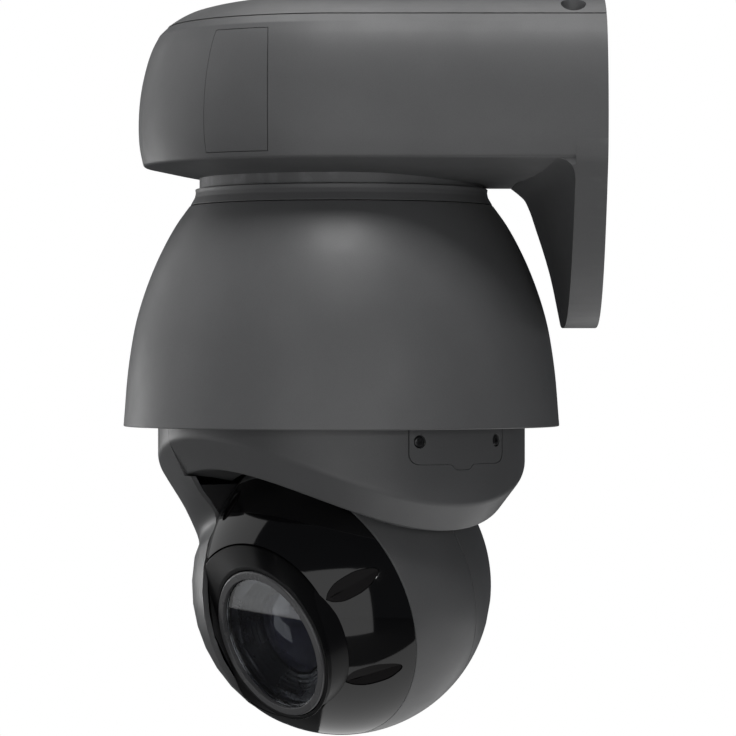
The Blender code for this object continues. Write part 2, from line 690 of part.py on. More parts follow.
plugHole = rod('cut_plug_hole', 5.2, 60, 90, None, nodding, steps=16, turn=plugTurn)
cutWith(rear, plugHole)
rod('vent_plug', 4.9, 66.5, 71.6, 'dark', nodding, steps=16, turn=plugTurn)

bpy.context.view_layer.update()
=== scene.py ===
import math

import bpy
import bmesh
from mathutils import Matrix, Vector


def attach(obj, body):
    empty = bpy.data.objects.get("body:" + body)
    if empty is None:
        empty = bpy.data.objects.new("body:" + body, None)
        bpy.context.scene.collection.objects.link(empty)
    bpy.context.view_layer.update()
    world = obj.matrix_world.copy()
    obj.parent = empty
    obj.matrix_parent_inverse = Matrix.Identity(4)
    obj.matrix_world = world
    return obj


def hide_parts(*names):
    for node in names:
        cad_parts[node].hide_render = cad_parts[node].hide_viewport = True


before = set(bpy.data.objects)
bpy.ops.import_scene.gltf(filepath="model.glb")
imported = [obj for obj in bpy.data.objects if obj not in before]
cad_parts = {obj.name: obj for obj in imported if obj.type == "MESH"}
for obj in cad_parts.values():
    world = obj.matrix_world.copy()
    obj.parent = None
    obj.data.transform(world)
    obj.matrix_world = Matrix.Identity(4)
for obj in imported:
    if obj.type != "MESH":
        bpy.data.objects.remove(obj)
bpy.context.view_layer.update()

mm = 0.001                        # every length below is in millimetres
fine = 192  # steps around the large round pieces

# where things turn: pan axis, tilt axis, the shells' own axis and the lens axis
panPlace = Matrix.Translation((0, -0.1235, 0))
panFrame = panPlace @ Matrix.Rotation(math.radians(-50), 4, 'Z')
headFrame = panFrame @ Matrix.Translation((0, 0, -0.206)) @ Matrix.Rotation(math.radians(20), 4, 'Y')
alongX = Matrix.Rotation(math.pi / 2, 4, 'Y')
alongY = Matrix.Rotation(-math.pi / 2, 4, 'X')
capFrame = headFrame @ Matrix.Rotation(math.radians(8.4), 4, 'Z')
lensFrame = headFrame @ Matrix.Translation((0, 0.0185, -0.003)) @ alongX
ballZ, ballRadius = -206.0, 72.8
headFlat = -16.0                  # the shells stop here, just off the side plate


# small helpers for working on one piece at a time

def deselect():
    if bpy.context.object and bpy.context.object.mode != 'OBJECT':
        bpy.ops.object.mode_set(mode='OBJECT')
    bpy.ops.object.select_all(action='DESELECT')


def pick(item):
    deselect()
    item.select_set(True)
    bpy.context.view_layer.objects.active = item
    return item


def editAll(item):
    pick(item)
    bpy.ops.object.mode_set(mode='EDIT')
    bpy.ops.mesh.select_all(action='SELECT')


def objectMode():
    bpy.ops.object.mode_set(mode='OBJECT')


def newItem(name, points, edges=(), faces=()):
    mesh = bpy.data.meshes.new(name)
    mesh.from_pydata([Vector(p) * mm for p in points], list(edges), list(faces))
    item = bpy.data.objects.new(name, mesh)
    bpy.context.scene.collection.objects.link(item)
    return item


def blendCurve(points, count, hard=()):
    # a smooth line through the points, straight where both ends of a stretch are hard
    points = [Vector(p) for p in points]
    last = len(points) - 1
    slopes, out = [], []
    for i, here in enumerate(points):
        if i in hard or i in (0, last):
            slopes.append(None)
            continue
        a, b = here - points[i - 1], points[i + 1] - here
        slopes.append((a.normalized() * b.length + b.normalized() * a.length)
                      / (a.length + b.length))
    for i in range(last):
        a, b = points[i], points[i + 1]
        reach, plain = (b - a).length, (b - a).normalized()
        goA, goB = (slopes[i] or plain) * reach, (slopes[i + 1] or plain) * reach
        for k in range(count):
            t = k / count
            out.append(a * (2 * t ** 3 - 3 * t ** 2 + 1) + goA * (t ** 3 - 2 * t ** 2 + t)
                       + b * (3 * t ** 2 - 2 * t ** 3) + goB * (t ** 3 - t ** 2))
    return out + [points[last]]


def easeCorners(points, widths, closed=False, steps=4):
    # cut each corner back by its width and round it off
    points = [Vector(p) for p in points]
    count, out = len(points), []
    for i, here in enumerate(points):
        width = widths[i]
        if not width or (not closed and i in (0, count - 1)):
            out.append(here)
            continue
        toA, toB = points[i - 1] - here, points[(i + 1) % count] - here
        a = here + toA.normalized() * min(width, toA.length * 0.45)
        b = here + toB.normalized() * min(width, toB.length * 0.45)
        for k in range(steps + 1):
            t = k / steps
            out.append(a * (1 - t) ** 2 + here * 2 * t * (1 - t) + b * t * t)
    return out


def closeUp(item):
    editAll(item)
    bpy.ops.mesh.remove_doubles(threshold=0.000002)
    bpy.ops.mesh.normals_make_consistent(inside=False)
    objectMode()
    return item


def turned(name, profile, steps=None, closed=False):
    # spin a line of (radius, height) round the Z axis
    points = [(p[0], 0, p[1]) for p in profile]
    edges = [(i, i + 1) for i in range(len(points) - 1)]
    if closed:
        edges.append((len(points) - 1, 0))
    item = newItem(name, points, edges)
    editAll(item)
    bpy.ops.mesh.spin(steps=steps or fine, angle=math.tau, center=(0, 0, 0), axis=(0, 0, 1))
    objectMode()
    return closeUp(item)


def easedTurn(name, points, width, steps=None):
    # a turned ring whose corners all get the same small round
    flat = [(r, z, 0) for r, z in points]
    return turned(name, easeCorners(flat, [width] * len(flat), True), steps, True)


def skinned(name, rows, loop=False):
    # skin rows of points one to the next; the ends are closed, or joined in a loop
    size = len(rows[0])
    points = [p for row in rows for p in row]
    faces = []
    for r in range(len(rows) - (0 if loop else 1)):
        one, two = r * size, ((r + 1) % len(rows)) * size
        for i in range(size):
            j = (i + 1) % size
            faces.append((one + i, one + j, two + j, two + i))
    if not loop:
        faces += [tuple(range(size)), tuple(range(len(points) - size, len(points)))]
    return closeUp(newItem(name, points, (), faces))


def barrel(name, radius, low, high, steps=48, place=(0, 0)):
    deselect()
    bpy.ops.mesh.primitive_cylinder_add(vertices=steps, radius=radius * mm, depth=(high - low) * mm,
                                        location=(place[0] * mm, place[1] * mm, (low + high) / 2 * mm))
    return settle(name)


def block(name, low, high):
    deselect()
    size = [(b - a) * mm for a, b in zip(low, high)]
    middle = [(a + b) / 2 * mm for a, b in zip(low, high)]
    bpy.ops.mesh.primitive_cube_add(size=1, location=middle, scale=size)
    return settle(name)


def settle(name):
    # name what was just added and put its place into its mesh
    item = bpy.context.object
    item.name = item.data.name = name
    bpy.ops.object.transform_apply(location=True, rotation=True, scale=True)
    return item


def slab(name, outline, low, high):
    # a flat outline given some thickness along Z
    size = len(outline)
    item = newItem(name, [(x, y, low) for x, y in outline], (), [tuple(range(size))])
    editAll(item)
    bpy.ops.mesh.extrude_region_move(
        TRANSFORM_OT_translate={"value": (0, 0, (high - low) * mm), "orient_type": 'GLOBAL'})
    bpy.ops.mesh.select_all(action='SELECT')
    bpy.ops.mesh.normals_make_consistent(inside=False)
    objectMode()
    return item


def moved(item, matrix):
    item.data.transform(matrix)
    item.data.update()
    return item


def carve(item, *cutters, how='DIFFERENCE'):
    for cutter in cutters:
        pick(item)
        step = item.modifiers.new('cut', 'BOOLEAN')
        step.operation, step.solver, step.object = how, 'EXACT', cutter
        bpy.ops.object.modifier_apply(modifier=step.name)
        bpy.data.objects.remove(cutter, do_unlink=True)
    return item


def soften(item, width, angle=50, segments=2):
    # a small round along the sharp edges
    pick(item)
    step = item.modifiers.new('soften', 'BEVEL')
    step.width, step.segments, step.limit_method = width * mm, segments, 'ANGLE'
    step.angle_limit = math.radians(angle)
    bpy.ops.object.modifier_apply(modifier=step.name)
    return item


def stretchToWall(item):
    # slide the wall-side half along +Y, which makes a round-nosed bar
    for vert in item.data.vertices:
        if vert.co.y > 0.00001:
            vert.co.y += 0.4
    return item


def present(item, look, nodes, body, angle=32, even=True):
    # shade it, paint it and let it stand for its CAD nodes
    pick(item)
    bpy.ops.object.shade_smooth_by_angle(angle=math.radians(angle))
    if even:
        step = item.modifiers.new('even', 'WEIGHTED_NORMAL')
        step.keep_sharp = True
        bpy.ops.object.modifier_apply(modifier=step.name)
    item.data.materials.clear()
    item.data.materials.append(look)
    if nodes:
        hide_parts(*nodes)
    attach(item, body)
    return item


# ---- finishes ----

def startGroup(name, inputs, outputs):
    group = bpy.data.node_groups.new(name, 'ShaderNodeTree')
    for label, kind, value in inputs:
        socket = group.interface.new_socket(name=label, in_out='INPUT', socket_type=kind)
        socket.default_value = value
    for label, kind in outputs:
        group.interface.new_socket(name=label, in_out='OUTPUT', socket_type=kind)
    return group, group.nodes.new('NodeGroupInput'), group.nodes.new('NodeGroupOutput')


def noiseNode(tree, scale, detail=3.0, rough=0.5):
    place = tree.nodes.new('ShaderNodeTexCoord')
    noise = tree.nodes.new('ShaderNodeTexNoise')
    noise.inputs['Detail'].default_value = detail
    noise.inputs['Roughness'].default_value = rough
    tree.links.new(place.outputs['Object'], noise.inputs['Vector'])
    if isinstance(scale, (int, float)):
        noise.inputs['Scale'].default_value = scale
    else:
        tree.links.new(scale, noise.inputs['Scale'])
    return noise.outputs['Fac']


def rangeNode(tree, value, low, high, toLow, toHigh):
    step = tree.nodes.new('ShaderNodeMapRange')
    for name, number in (('Value', value), ('From Min', low), ('From Max', high),
                         ('To Min', toLow), ('To Max', toHigh)):
        if isinstance(number, (int, float)):
            step.inputs[name].default_value = number
        else:
            tree.links.new(number, step.inputs[name])
    return step.outputs['Result']


def mathNode(tree, how, a, b):
    step = tree.nodes.new('ShaderNodeMath')
    step.operation = how
    for socket, number in zip(step.inputs, (a, b)):
        if isinstance(number, (int, float)):
            socket.default_value = number
        else:
            tree.links.new(number, socket)
    return step.outputs[0]


def mixNode(tree, share, a, b):
    step = tree.nodes.new('ShaderNodeMix')
    step.data_type = 'RGBA'
    for socket, value in ((step.inputs[0], share), (step.inputs[6], a), (step.inputs[7], b)):
        if isinstance(value, (int, float)):
            socket.default_value = value
        elif isinstance(value, tuple):
            socket.default_value = (*value, 1)
        else:
            tree.links.new(value, socket)
    return step.outputs[2]


def makeCoatTone():
    # slow changes of tone and gloss over a coated surface, with a fine grain
    group, inn, out = startGroup('coatTone', [
        ('Colour', 'NodeSocketColor', (0.1, 0.1, 0.1, 1)), ('Spread', 'NodeSocketFloat', 0.1),
        ('Gloss', 'NodeSocketFloat', 0.45), ('Gloss Spread', 'NodeSocketFloat', 0.06),
        ('Grain Scale', 'NodeSocketFloat', 2600.0)],
        [('Colour', 'NodeSocketColor'), ('Roughness', 'NodeSocketFloat'),
         ('Grain', 'NodeSocketFloat')])
    slow = noiseNode(group, 16, 4, 0.55)
    fineGrain = noiseNode(group, inn.outputs['Grain Scale'], 2, 0.6)
    shade = rangeNode(group, slow, 0.3, 0.7, 1, 0)
    low = mathNode(group, 'SUBTRACT', 1.0, inn.outputs['Spread'])
    high = mathNode(group, 'ADD', 1.0, inn.outputs['Spread'])
    factor = rangeNode(group, shade, 0, 1, low, high)
    speck = rangeNode(group, fineGrain, 0.35, 0.65, 0.94, 1.06)
    both = mathNode(group, 'MULTIPLY', factor, speck)
    scaled = group.nodes.new('ShaderNodeVectorMath')
    scaled.operation = 'SCALE'
    group.links.new(inn.outputs['Colour'], scaled.inputs[0])
    group.links.new(both, scaled.inputs['Scale'])
    group.links.new(scaled.outputs[0], out.inputs['Colour'])
    cloud = noiseNode(group, 42, 5, 0.6)
    drift = rangeNode(group, cloud, 0.3, 0.7, -1, 1)
    swing = mathNode(group, 'MULTIPLY', drift, inn.outputs['Gloss Spread'])
    group.links.new(mathNode(group, 'ADD', inn.outputs['Gloss'], swing), out.inputs['Roughness'])
    group.links.new(fineGrain, out.inputs['Grain'])
    return group


def makeEdgeRub():
    # where edges are rubbed lighter, broken up so that it isn't an even line
    group, inn, out = startGroup('edgeRub', [('Amount', 'NodeSocketFloat', 0.5)],
                                 [('Rub', 'NodeSocketFloat')])
    shape = group.nodes.new('ShaderNodeNewGeometry')
    raised = rangeNode(group, shape.outputs['Pointiness'], 0.6, 0.8, 0, 1)
    broken = rangeNode(group, noiseNode(group, 130, 5, 0.6), 0.42, 0.62, 0, 1)
    rub = mathNode(group, 'MULTIPLY', mathNode(group, 'MULTIPLY', raised, broken),
                   inn.outputs['Amount'])
    group.links.new(rub, out.inputs['Rub'])
    return group


def makeRestingDust():
    # a thin film on what faces up
    group, inn, out = startGroup('restingDust', [('Amount', 'NodeSocketFloat', 0.2)],
                                 [('Dust', 'NodeSocketFloat')])
    shape = group.nodes.new('ShaderNodeNewGeometry')
    split = group.nodes.new('ShaderNodeSeparateXYZ')
    group.links.new(shape.outputs['Normal'], split.inputs[0])
    upward = rangeNode(group, split.outputs['Z'], 0.55, 1.0, 0, 1)
    patch = rangeNode(group, noiseNode(group, 60, 6, 0.65), 0.35, 0.7, 0, 1)
    group.links.new(mathNode(group, 'MULTIPLY', mathNode(group, 'MULTIPLY', upward, patch),
                             inn.outputs['Amount']), out.inputs['Dust'])
    return group


coatTone, edgeRub, restingDust = makeCoatTone(), makeEdgeRub(), makeRestingDust()


def place(tree, group, **values):
    node = tree.nodes.new('ShaderNodeGroup')
    node.node_tree = group
    for name, value in values.items():
        socket = node.inputs[name.replace('_', ' ')]
        socket.default_value = (*value, 1) if isinstance(value, tuple) else value
    return node


def finish(name, colour, gloss, spread=0.08, glossSpread=0.05, grain=2600, bump=0.1,
           rub=0.3, rubColour=(0.35, 0.35, 0.36), dust=0.0, metallic=0.0, coat=0.0, ior=1.5):
    # a coated, moulded or metal surface; each named finish below is one call of this
    look = bpy.data.materials.new(name)
    look.use_nodes = True
    tree = look.node_tree
    shader = next(n for n in tree.nodes if n.type == 'BSDF_PRINCIPLED')
    tone = place(tree, coatTone, Colour=colour, Spread=spread, Gloss=gloss,
                 Gloss_Spread=glossSpread, Grain_Scale=grain)
    worn = place(tree, edgeRub, Amount=rub)
    base = mixNode(tree, worn.outputs['Rub'], tone.outputs['Colour'], rubColour)
    if dust:
        film = place(tree, restingDust, Amount=dust)
        base = mixNode(tree, film.outputs['Dust'], base, (0.32, 0.31, 0.29))
    tree.links.new(base, shader.inputs['Base Color'])
    tree.links.new(tone.outputs['Roughness'], shader.inputs['Roughness'])
    shader.inputs['Metallic'].default_value = metallic
    shader.inputs['Coat Weight'].default_value = coat
    shader.inputs['Coat Roughness'].default_value = 0.03
    shader.inputs['IOR'].default_value = ior
    if bump:
        relief = tree.nodes.new('ShaderNodeBump')
        relief.inputs['Strength'].default_value = bump
        relief.inputs['Distance'].default_value = 0.00006
        tree.links.new(tone.outputs['Grain'], relief.inputs['Height'])
        tree.links.new(relief.outputs['Normal'], shader.inputs['Normal'])
    return look


def glassFinish(name, tint, ior=1.45, rough=0.0, coat=0.0):
    # clear glass with the faint smears that a wiped front window keeps
    look = bpy.data.materials.new(name)
    look.use_nodes = True
    tree = look.node_tree
    shader = next(n for n in tree.nodes if n.type == 'BSDF_PRINCIPLED')
    shader.inputs['Transmission Weight'].default_value = 1.0
    shader.inputs['IOR'].default_value = ior
    shader.inputs['Coat Weight'].default_value = coat
    shader.inputs['Coat IOR'].default_value = 1.7
    shader.inputs['Coat Roughness'].default_value = 0.01
    tone = place(tree, coatTone, Colour=tint, Spread=0.02, Gloss=rough, Gloss_Spread=0.004,
                 Grain_Scale=300.0)
    tree.links.new(tone.outputs['Colour'], shader.inputs['Base Color'])
    tree.links.new(mathNode(tree, 'MAXIMUM', tone.outputs['Roughness'], 0.0),
                   shader.inputs['Roughness'])
    return look


finishes = {
    'armPaint': finish('armPaint', (0.124, 0.125, 0.127), 0.47, dust=0.12),
    'shieldPaint': finish('shieldPaint', (0.124, 0.125, 0.127), 0.43, dust=0.08),
    'yokePaint': finish('yokePaint', (0.112, 0.113, 0.115), 0.42),
    'headPaint': finish('headPaint', (0.11, 0.111, 0.113), 0.4),
    'blackFace': finish('blackFace', (0.004, 0.004, 0.0045), 0.06, spread=0.2, glossSpread=0.02,
                        grain=900, bump=0.0, rub=0.05, rubColour=(0.05, 0.05, 0.05)),
    'collarBlack': finish('collarBlack', (0.005, 0.005, 0.0055), 0.32, spread=0.12, rub=0.2, ior=1.25,
                          rubColour=(0.1, 0.1, 0.1)),
    'irPane': finish('irPane', (0.003, 0.002, 0.0025), 0.2, spread=0.2, glossSpread=0.04, ior=1.2,
                     grain=700, bump=0.0, rub=0.0),
    'ringGrey': finish('ringGrey', (0.075, 0.075, 0.078), 0.26, spread=0.06,
                       rubColour=(0.3, 0.3, 0.31)),
    'barrelBlack': finish('barrelBlack', (0.012, 0.012, 0.017), 0.26, spread=0.15, rub=0.35, ior=1.5,
                          rubColour=(0.16, 0.16, 0.19)),
    'zincScrew': finish('zincScrew', (0.36, 0.37, 0.38), 0.32, metallic=1.0, grain=1800,
                        rubColour=(0.6, 0.6, 0.6)),
    # near-black screw colour: partly the screws' own dark finish, partly painted shade of the recesses they sit in
    'darkScrewAndRecessShade': finish('darkScrewAndRecessShade', (0.02, 0.02, 0.021), 0.32, metallic=0.3, grain=1800,
                        rubColour=(0.3, 0.3, 0.3)),
    'plateSteel': finish('plateSteel', (0.42, 0.43, 0.44), 0.36, spread=0.12, glossSpread=0.1,
                         grain=1100, metallic=1.0, rubColour=(0.65, 0.65, 0.66)),
    'bearingSteel': finish('bearingSteel', (0.55, 0.55, 0.56), 0.22, metallic=1.0, grain=1500,
                           rubColour=(0.7, 0.7, 0.7)),
    'blackMoulding': finish('blackMoulding', (0.02, 0.02, 0.021), 0.5, spread=0.12,
                            rubColour=(0.1, 0.1, 0.1)),
    'glandRubber': finish('glandRubber', (0.018, 0.018, 0.018), 0.75, spread=0.15, grain=1500,
                          bump=0.3, rubColour=(0.06, 0.06, 0.06)),
    'gearNylon': finish('gearNylon', (0.62, 0.6, 0.54), 0.42, spread=0.05,
                        rubColour=(0.75, 0.74, 0.7)),
    'brassCell': finish('brassCell', (0.55, 0.4, 0.2), 0.26, metallic=1.0, grain=1600,
                        rubColour=(0.75, 0.6, 0.35)),
    'boardGreen': finish('boardGreen', (0.018, 0.11, 0.05), 0.38, spread=0.25, grain=420,
                         bump=0.4, rubColour=(0.3, 0.27, 0.15)),
    'sensorBlack': finish('sensorBlack', (0.012, 0.014, 0.024), 0.12, spread=0.2, grain=900,
                          rubColour=(0.08, 0.08, 0.1)),
    'buttonWhite': finish('buttonWhite', (0.6, 0.6, 0.57), 0.4, spread=0.05),
    'frontGlass': glassFinish('frontGlass', (0.9, 0.93, 0.97)),
    'lensGlass': finish('lensGlass', (0.035, 0.034, 0.055), 0.04, spread=0.1, glossSpread=0.01,
                        grain=500, bump=0.0, rub=0.0, coat=0.2, ior=1.5),
    'filterGlass': glassFinish('filterGlass', (0.35, 0.7, 0.75)),
}
print('finishes ready')


# ---- wall arm ----

arm = {
    'outline': [(0, 64.2), (84.6, 64.2), (88.5, 60.4), (91.6, 54.5), (95.9, 40.9), (98.6, 19),
                (98.0, 5.8), (96.2, -3), (70, -8.3), (0, -13)],
    'hard': (1, 2, 7),                     # kept as creases, each eased by the width below
    'creaseWidths': {1: 0.5, 2: 0.8, 7: 1.8},
    'hollow': [(0, 70), (80.8, 70), (80.8, 60.5), (87.6, 52), (92.2, 39), (94.6, 19), (94, 6),
               (92, 1), (0, -5)],
    'wall': 123.5, 'plate': 14.8, 'hollowEnd': 100.0,
    'tongueHalf': 96.4, 'tongueTip': -81.0, 'tongueTop': -3.0, 'tongueCurve': 2.8,
    'shoulder': [(95.6, -5.5), (96.6, -2.4), (97.4, 1.2), (98.1, 5), (97.0, 9)],
    'crown': [(0, 25.8), (3.1, 21.9), (5.5, 19.4), (9, 17.6), (20.2, 13.6), (41.1, 6.9), (68, 0.9)],
    'fillet': 9.0, 'edge': 1.0,
    'bossRadius': 69.1, 'bossBottom': -13.4, 'neckHole': 26.0,
}


def creased(points, hard, widths, count=6):
    # a smooth outline with its hard corners eased
    flat = [(p[0], p[1], 0) for p in points]
    stops = [0, *hard, len(flat) - 1]
    out = []
    for a, b in zip(stops, stops[1:]):
        run = blendCurve(flat[a:b + 1], count if b - a > 1 else 1)
        out += run if not out else run[1:]
    marks = {}
    for i in hard:
        spot = min(range(len(out)), key=lambda k: (out[k] - Vector(flat[i])).length)
        marks[spot] = widths[i]
    kept = []
    for k, point in enumerate(out):
        near = [m for m, w in marks.items() if k != m and (point - out[m]).length < w * 1.05]
        if not near:
            kept.append((point, marks.get(k, 0)))
    return easeCorners([p for p, w in kept], [w / 0.45 * 0.45 for p, w in kept])


def crownDepth(drop):
    table = arm['crown']
    line = crownDepth.line if hasattr(crownDepth, 'line') else None
    if line is None:
        line = crownDepth.line = blendCurve([(d, v, 0) for d, v in table], 12)
    for a, b in zip(line, line[1:]):
        if a.x <= drop <= b.x:
            return a.y + (b.y - a.y) * (drop - a.x) / (b.x - a.x)
    return line[-1].y


gussetDrops = (0, 0.5, 1, 1.6, 2.3, 3.1, 4, 5, 6.2, 7.6, 9.2, 11, 13.5, 16.5, 20, 24, 29, 35,
               42, 50, 59, 68)


def gussetRow(x):
    share = 1 - (x / arm['tongueHalf']) ** 2
    low = arm['tongueTip'] + (arm['tongueTop'] - arm['tongueTip']) * abs(x / arm['tongueHalf']) ** arm['tongueCurve']
    high = -13 + 10 * (x / 96.0) ** 2
    front, radius = arm['wall'] - arm['plate'], arm['fillet']
    points = [(x, arm['wall'], 5), (x, arm['wall'], low)]
    for drop in reversed(gussetDrops):
        fall = drop * (high - low) / gussetDrops[-1]
        arc = radius - math.sqrt(radius ** 2 - max(0, radius - fall) ** 2)
        depth = max(arc, crownDepth(drop) * share + arc * (1 - share))
        points.append((x, front - depth, high - fall))
    points.append((x, front - max(radius, arm['crown'][0][1] * share), 5))
    return points


def makeArm():
    profile = creased(arm['outline'], arm['hard'], arm['creaseWidths'])
    body = stretchToWall(turned('armCasting', profile))
    carve(body, block('wallCut', (-200, arm['wall'], -200), (200, 900, 200)))
    rows = [gussetRow(95 * math.sin(math.pi / 2 * k / 24)) for k in range(-24, 25)]
    carve(body, skinned('gusset', rows), how='UNION')
    # the back plate runs up flush into the arm's side, so no crease shows between them
    edge = [(arm['tongueHalf'] * k / 24, arm['tongueTip'] + (arm['tongueTop'] - arm['tongueTip'])
             * (k / 24) ** arm['tongueCurve']) for k in range(24)] + arm['shoulder']
    outline = [(-x, z) for x, z in edge[:0:-1]] + edge
    tongue = slab('tongue', outline, 0, arm['plate'])
    carve(body, moved(tongue, Matrix.Translation((0, arm['wall'] * mm, 0)) @ Matrix.Rotation(math.pi / 2, 4, 'X')),
          how='UNION')
    carve(body, barrel('boss', arm['bossRadius'], arm['bossBottom'], -4, fine), how='UNION')
    hollow = stretchToWall(turned('hollow', [(r, z) for r, z in arm['hollow']], 64))
    carve(hollow, block('hollowEnd', (-200, arm['hollowEnd'], -100), (200, 900, 100)))
    carve(body, hollow, barrel('neckCut', arm['neckHole'], -30, 10))
    recess = slab('recess', [(x * 1.004, z * 1.008) for x, z in plate['outline']], -200, 6)
    carve(body, moved(recess, Matrix.Translation((0, 0.1235, 0)) @ Matrix.Rotation(math.pi / 2, 4, 'X')))
    gland = moved(barrel('glandCut', 16, 95, 120), Matrix.Translation((0, 0, 0.022)) @ alongY)
    carve(body, gland)
    for side in (-1, 1):
        x = side * plate['lugX']
        carve(body, block('lugCut', (x - 7.3, 101.4, 37.6), (x + 7.3, 119, 48.4)),
              barrel('screwCut', 2.9, 45, 60, 24, (x, plate['screwY'])),
              barrel('headCut', 5.9, 58, 90, 48, (x, plate['screwY'])))
    return body


plate = {
    'outline': [(-84, 48), (84, 48), (84, 32), (60, 5), (24, -58), (-24, -58), (-60, 5), (-84, 32)],
    'thick': 5.4, 'lugX': 77.0, 'screwY': 108.5, 'lugFront': 101.8, 'lugTop': 48.0,
    'anchors': [(-50, 34), (50, 34), (-17, -46), (17, -46)], 'anchorRadius': 4.25,
    'cableRadius': 18, 'cableZ': 22, 'edge': 0.4,
}
hatch = {'sideY': -33.3, 'frontTurn': -40.3, 'low': 0.0, 'high': 58.0, 'thick': 2.5, 'gap': 0.3, 'bevel': 0.35}
cover = {
    'outline': [(0, 78.6), (28, 77.9), (43.2, 76.9), (58.2, 75), (67.2, 73), (73.3, 71.1),
                (77.5, 69.1), (80.7, 67.2), (84.6, 64.5), (0, 64.5)],
    'hollow': [(0, 75.9), (42, 74.3), (56, 72.4), (71, 68.6), (76, 65.5), (76, 60), (0, 60)],
    'lip': 0.5, 'screwRadius': 5.9, 'chamfer': 0.8,
}


def hatchWedge(name, shrink, reach=120):
    # between the flat wall-side edge and the front edge, which points at the pan axis
    slope = math.radians(hatch['frontTurn'])
    side, push = hatch['sideY'] - shrink, shrink / math.cos(slope)
    outline = [((side - push) / math.tan(slope), side), (reach, side), (reach, reach * math.tan(slope) + push)]
    return slab(name, outline, hatch['low'] + shrink, hatch['high'] - shrink)


def shrunk(profile, distance):
    return [(max(0, p[0] - distance) if p[0] > 75 else p[0], p[1]) for p in profile]


armProfile = creased(arm['outline'], arm['hard'], arm['creaseWidths'])
armBody = makeArm()
pocket = hatchWedge('pocket', 0)
carve(pocket, turned('pocketCore', shrunk(armProfile, hatch['thick'] + hatch['gap'])))
carve(armBody, pocket, hatchWedge('windowCut', 5.0))
moved(armBody, panPlace)
present(armBody, finishes['armPaint'], ['bracket_body'], 'base')

hatchPanel = turned('sideHatch', armProfile)
carve(hatchPanel, hatchWedge('hatchKeep', hatch['gap']), how='INTERSECT')
carve(hatchPanel, turned('hatchBack', shrunk(armProfile, hatch['thick'])))
moved(hatchPanel, panPlace)
soften(hatchPanel, hatch['bevel'])
present(hatchPanel, finishes['armPaint'], ['side_hatch'], 'base')


def makeCover():
    edge = len(cover['outline']) - 2
    profile = creased(cover['outline'], (edge,), {edge: cover['lip']})
    lid = stretchToWall(turned('topCover', profile))
    carve(lid, block('wallCut', (-200, arm['wall'], -200), (200, 900, 200)))
    hollow = stretchToWall(turned('coverHollow', cover['hollow'], 64))
    carve(hollow, block('hollowEnd', (-200, arm['hollowEnd'], -100), (200, 900, 100)))
    carve(lid, hollow)
    for side in (-1, 1):
        spot = (side * plate['lugX'], plate['screwY'])
        carve(lid, barrel('coverHole', cover['screwRadius'], 50, 90, 64, spot))
    return moved(lid, panPlace)


present(makeCover(), finishes['armPaint'], ['bracket_top_cover'], 'base')


def makePlate():
    item = slab('wallPlate', plate['outline'], 0, plate['thick'])
    moved(item, Matrix.Translation((0, 0.1235, 0)) @ Matrix.Rotation(math.pi / 2, 4, 'X'))
    for side in (-1, 1):
        x = side * plate['lugX']
        carve(item, block('lug', (x - 7, plate['lugFront'], 38), (x + 7, 120, plate['lugTop'])),
              how='UNION')
        carve(item, barrel('lugHole', 2.9, 30, 60, 32, (x, plate['screwY'])))
    for x, z in plate['anchors']:
        carve(item, moved(barrel('anchor', plate['anchorRadius'], 110, 130, 32),
                          Matrix.Translation((x * mm, 0, z * mm)) @ alongY))
    carve(item, moved(barrel('cable', plate['cableRadius'], 110, 130, 64),
                      Matrix.Translation((0, 0, plate['cableZ'] * mm)) @ alongY))
    return soften(moved(item, panPlace), plate['edge'])


present(makePlate(), finishes['plateSteel'], ['wall_plate'], 'base')

screw = {'radius': 5.2, 'high': 4.2, 'shank': 2.5, 'length': 19, 'key': 2.3, 'keyDepth': 2.4}


def makeScrew(name, head, high, shank, length, key, depth):
    # a button-head screw with a hexagon recess
    profile = [(0, high, 0), (head * 0.62, high, 0), (head * 0.9, high * 0.72, 0), (head, high * 0.3, 0),
               (head, 0, 0), (shank, 0, 0), (shank, -length, 0), (0, -length, 0)]
    item = turned(name, easeCorners(profile, [0, 0.8, 0.6, 0.3, 0.2, 0, 0.3, 0]), 48)
    return carve(item, barrel('key', key, high - depth, high + 3, 6))


lockScrew = makeScrew('lockScrewLeft', screw['radius'], screw['high'], screw['shank'],
                      screw['length'], screw['key'], screw['keyDepth'])
lockScrewTwin = lockScrew.copy()
lockScrewTwin.data = lockScrew.data.copy()
lockScrewTwin.name = 'lockScrewRight'
bpy.context.scene.collection.objects.link(lockScrewTwin)
# the lock screws take the near-black colour, partly painted shade of their recesses
for item, side, node in ((lockScrew, -1, 'lock_screw_left'), (lockScrewTwin, 1, 'lock_screw_right')):
    moved(item, panPlace @ Matrix.Translation((side * 0.077, 0.1085, 0.0583)))
    present(item, finishes['darkScrewAndRecessShade'], [node], 'base')

gland = {'profile': [(6, 84), (11, 84), (13, 88), (13, 94), (20, 94), (20, 99.7), (15.7, 99.7),
                     (15.7, 116), (6, 116)], 'edge': 0.6}
glandItem = easedTurn('cableGland', gland['profile'], gland['edge'], 64)
moved(glandItem, panPlace @ Matrix.Translation((0, 0, 0.022)) @ alongY)
present(glandItem, finishes['glandRubber'], ['cable_gland'], 'base')
print('wall arm ready')


# ---- neck and sun shield ----

neck = {'outline': [(30, -13.7), (71.2, -13.7), (70.9, -15.6), (71.4, -17.8), (73.5, -21.5), (30, -21.5)],
        'edge': 0.5}
shield = {
    'outer': [(73.8, -21.8), (79.8, -30.2), (87.4, -43.9), (93.7, -58.5), (99.8, -78),
              (103.2, -97.4), (106, -128.6)],
    'inner': [(103.9, -128.6), (101.1, -97.6), (97.6, -78.8), (91.6, -59.3), (85.3, -45),
              (77.8, -31.3), (72.5, -24.2)],
    'top': -21.8, 'under': -24.2, 'hole': 30, 'edge': 0.5,
}
neckRing = easedTurn('neckRing', neck['outline'], neck['edge'])
present(moved(neckRing, panPlace), finishes['armPaint'], ['neck_ring'], 'base')


